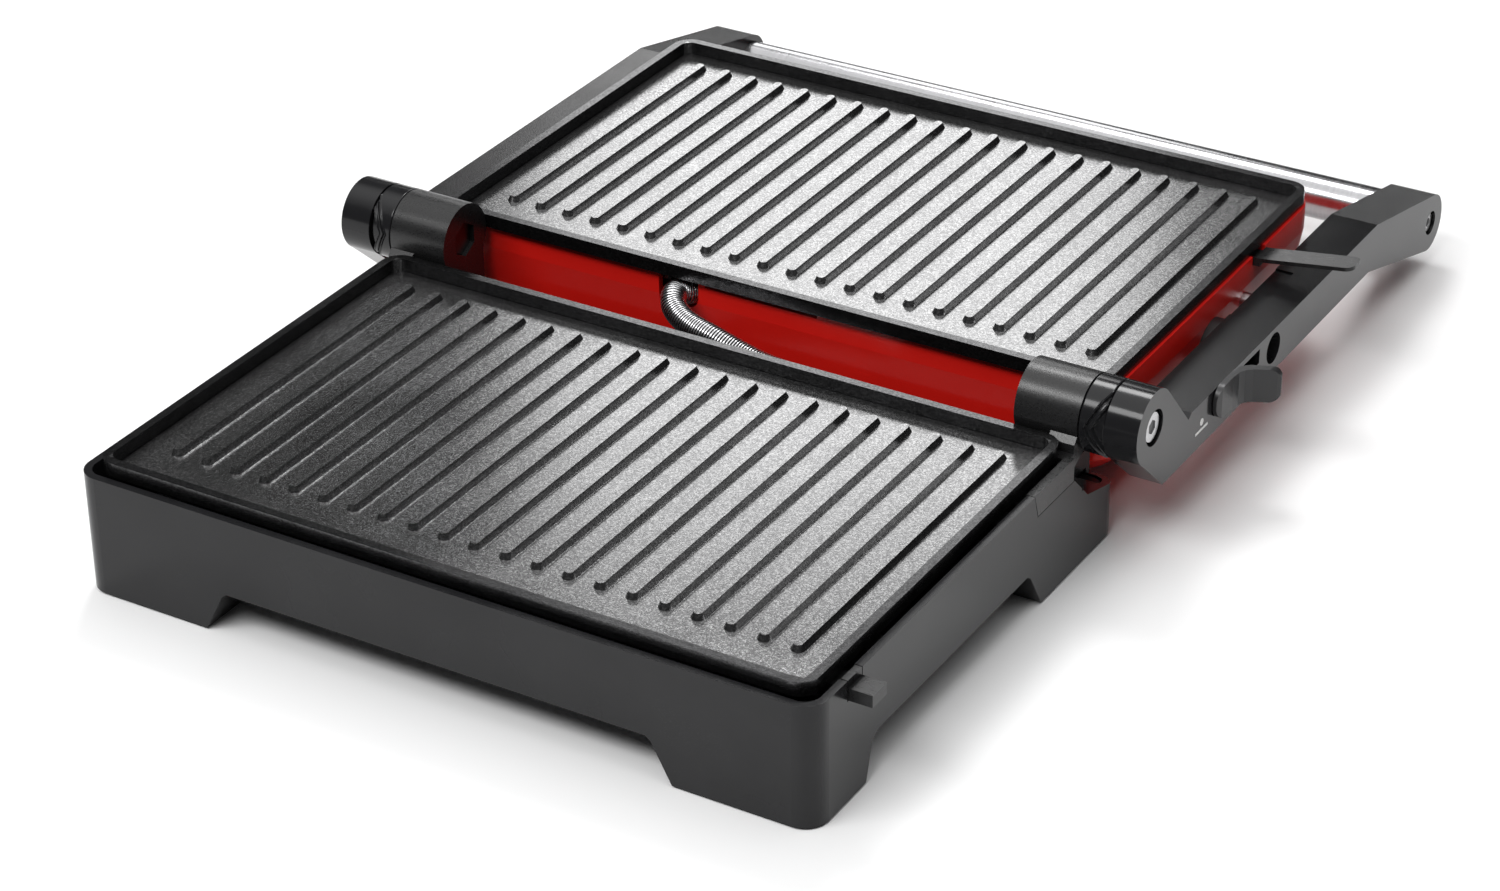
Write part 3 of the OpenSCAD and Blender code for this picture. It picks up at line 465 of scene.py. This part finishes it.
CONDUIT_ROUTE = (    # from the lid to the base, in mm from the hinge's middle, with heights over the table
    (-33, 31.6, 45.2), (-33.1, 28.2, 45.3), (-33.9, 24.4, 46), (-35.2, 20.4, 46.9), (-36.8, 16, 48.5),
    (-35.4, 11.4, 48.4), (-31.8, 7, 46.6), (-23.4, 2.6, 44.8), (-9.8, -0.6, 43.4), (4.3, -1.6, 40.2),
    (12.5, -1.8, 38.6), (23.2, -1.8, 37.6), (32, -1.8, 37.4), (39.5, -1.8, 36.2), (43.6, -1.8, 32.8),
    (44.8, -1.8, 28.5), (44.8, -1.8, 24.4))
COIL_RADIUS = 4.9      # all in mm
COIL_PITCH = 1.14
COIL_GROOVE = 0.62     # depth between two turns
CURVE_STEPS = 24       # points along the curve for each stretch of the route
TURN_STEPS = 8         # rings of vertices for each turn
TURN_SIDES = 28        # vertices round each ring


def smooth_route(points):
    """Catmull-Rom curve through the points, in mm in the row's frame."""
    points = [Vector(p) + SHIFT for p in points]
    ends = [points[0]] + points + [points[-1]]
    path = []
    for a, b, c, d in zip(ends, ends[1:], ends[2:], ends[3:]):
        for k in range(CURVE_STEPS):
            t = k / CURVE_STEPS
            path.append(0.5 * (2 * b + (c - a) * t + (2 * a - 5 * b + 4 * c - d) * t * t
                               + (3 * b - a - 3 * c + d) * t ** 3))
    return path + [points[-1]]


def even_path(path, spacing):
    """Points along a path at about the given spacing."""
    lengths = [0.0]
    for a, b in zip(path, path[1:]):
        lengths.append(lengths[-1] + (b - a).length)
    count = round(lengths[-1] / spacing)
    result, i = [], 0
    for k in range(count + 1):
        target = lengths[-1] * k / count
        while i < len(path) - 2 and lengths[i + 1] < target:
            i += 1
        t = (target - lengths[i]) / (lengths[i + 1] - lengths[i])
        result.append(path[i].lerp(path[i + 1], t))
    return result


def mesh_object(name, verts, faces, material):
    """A smooth-shaded piece from its vertices, in metres, and its faces."""
    mesh = bpy.data.meshes.new(name)
    mesh.from_pydata([tuple(v) for v in verts], [], faces)
    mesh.polygons.foreach_set("use_smooth", [True] * len(mesh.polygons))
    mesh.materials.append(material)
    mesh.update()
    piece = bpy.data.objects.new(name, mesh)
    scene.collection.objects.link(piece)
    return piece


def make_conduit():
    """A close-wound flat coil: each turn is a rounded ridge with a sunken hollow beside it, painted dark
    as shade.
    """
    path = even_path(smooth_route(CONDUIT_ROUTE), COIL_PITCH / TURN_STEPS)
    sides = TURN_SIDES
    verts, faces, depth = [], [], []
    normal = Vector((1, 0, 0.3))    # where the first ring starts; any direction across the route would do
    for i, point in enumerate(path):
        heading = (path[min(i + 1, len(path) - 1)] - path[max(i - 1, 0)]).normalized()
        normal = (normal - normal.dot(heading) * heading).normalized()
        side = heading.cross(normal)
        for k in range(sides):
            angle = 2 * math.pi * k / sides
            turn = (i / TURN_STEPS + k / sides) % 1
            ridge = math.sqrt(max(0, 1 - (2 * turn - 1) ** 2))
            radius = COIL_RADIUS - COIL_GROOVE * (1 - ridge)
            depth.append(1 - ridge)
            verts.append((point + radius * (math.cos(angle) * normal + math.sin(angle) * side)) * MM)
    for i in range(len(path) - 1):
        for k in range(sides):
            a, b = i * sides + k, i * sides + (k + 1) % sides
            faces.append((a, b, b + sides, a + sides))
    faces.append(tuple(reversed(range(sides))))
    faces.append(tuple(range(len(verts) - sides, len(verts))))
    conduit = mesh_object("conduit_coil", verts, faces, coil_steel())
    # how deep each point sits between the turns, which the coil's painted shade follows
    conduit.data.attributes.new("groove_shade", "FLOAT", "POINT").data.foreach_set("value", depth)
    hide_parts("wiring_conduit")
    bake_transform(conduit)


def coil_steel():
    """Bright spring steel, dull and painted dark down between the turns as shade."""
    p = Paint("coil_steel", (0.6, 0.6, 0.61), 0.26, 1.0)
    groove_shade = p.tree.nodes.new("ShaderNodeAttribute")
    groove_shade.attribute_name = "groove_shade"
    wear = p.noise(900, 3)
    # painted shade: the colour darkens to near black down between the turns
    p.colour(p.ramp(groove_shade.outputs["Fac"],
                    [(0.12, (0.68, 0.68, 0.69)), (0.3, (0.2, 0.2, 0.205)), (0.5, (0.015, 0.015, 0.016))]))
    p.rough(p.remap(wear, 0.2, 0.34))
    p.bump(wear, 0.00001, 0.4)
    return p.material


make_conduit()


# ---- Stop rings with their raised chevrons ----

RING_IN, RING_OUT = 148.4, 157.7    # faces of a ring, in mm from the middle plane
RING_RADIUS, RING_BORE = 14.5, 9.5  # mm
RING_EDGE = (0.35, 0.1)             # how far its first two rows at each face are pulled in, in mm
RING_ROWS, RING_SIDES = 46, 460
RING_SHARP = 50                     # edges sharper than this stay sharp, in degrees
CHEVRON_TIP = 150.3    # distance of the V's point from the middle plane
CHEVRON_AT = 84        # degrees from straight up towards the front
CHEVRON_SLOPE = 0.47   # mm along the axis for each mm round the ring
CHEVRON_STEPS = (      # distance inside the V and height there, in mm: lip, groove, field, lip, pocket
    (-0.3, 0), (0, 0.35), (0.25, 0.35), (0.5, -0.9), (0.95, -0.9), (1.2, -0.1), (2.2, -0.1),
    (2.4, 0.25), (2.7, 0.25), (3.0, -1.5), (99, -1.5))


def chevron_height(x, arc):
    """Height of the ring's face, by distance inside the V that points along -x."""
    inside = (x - CHEVRON_TIP - CHEVRON_SLOPE * abs(arc)) / math.hypot(1, CHEVRON_SLOPE)
    if inside <= CHEVRON_STEPS[0][0]:
        return 0
    for (d0, h0), (d1, h1) in zip(CHEVRON_STEPS, CHEVRON_STEPS[1:]):
        if inside <= d1:
            return h0 + (h1 - h0) * (inside - d0) / (d1 - d0)
    return CHEVRON_STEPS[-1][1]


def ring_point(x, radius, turn, side):
    """Place of a point on a ring, in mm in the row's frame; turn runs from straight up to the front."""
    return side * x + SHIFT.x, -radius * math.sin(turn) + SHIFT.y, radius * math.cos(turn) + HINGE_Z


def make_stop_ring(name, side):
    """A ring with its V; side is -1 on the left and 1 on the right."""
    across, around = RING_ROWS, RING_SIDES
    rows = [RING_IN + (RING_OUT - RING_IN) * i / across for i in range(across + 1)]
    verts, faces = [], []
    for i, x in enumerate(rows):
        edge = RING_EDGE[min(i, across - i)] if min(i, across - i) < len(RING_EDGE) else 0
        for k in range(around):
            turn = 2 * math.pi * k / around
            arc = math.radians((math.degrees(turn) - CHEVRON_AT + 180) % 360 - 180) * RING_RADIUS
            radius = RING_RADIUS - edge + chevron_height(x, arc)
            verts.append(ring_point(x, radius, turn, side))
    for x in (RING_OUT, RING_IN):
        for k in range(around):
            verts.append(ring_point(x, RING_BORE, 2 * math.pi * k / around, side))
    loops = across + 3    # the outer rows and the two edges of the bore
    for i in range(loops):
        here, there = i * around, (i + 1) % loops * around
        for k in range(around):
            after = (k + 1) % around
            face = (here + k, here + after, there + after, there + k)
            faces.append(face if side > 0 else face[::-1])
    ring = mesh_object(name + "_face", [Vector(v) * MM for v in verts], faces, MATERIALS["arm_paint"])
    ring.data.set_sharp_from_angle(angle=math.radians(RING_SHARP))
    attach(ring, "base")
    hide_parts(name)


make_stop_ring("stop_ring_left", -1)
make_stop_ring("stop_ring_right", 1)


# ---- Floor ----

FLOOR_SIZE = 14    # metres


def make_floor():
    """A plain pale floor, which isn't part of the object."""
    bpy.ops.mesh.primitive_plane_add(size=FLOOR_SIZE, location=(0, 0, 0))
    floor = bpy.context.object
    floor.name = "floor"
    p = Paint("floor", (0.93, 0.93, 0.93), 0.55)
    tone = p.noise(3, 2)
    p.colour(p.ramp(tone, [(0.3, (0.92, 0.92, 0.92)), (0.7, (0.94, 0.94, 0.94))]))
    p.bump(p.noise(800, 2), 0.00002, 0.2)
    floor.data.materials.append(p.material)


make_floor()
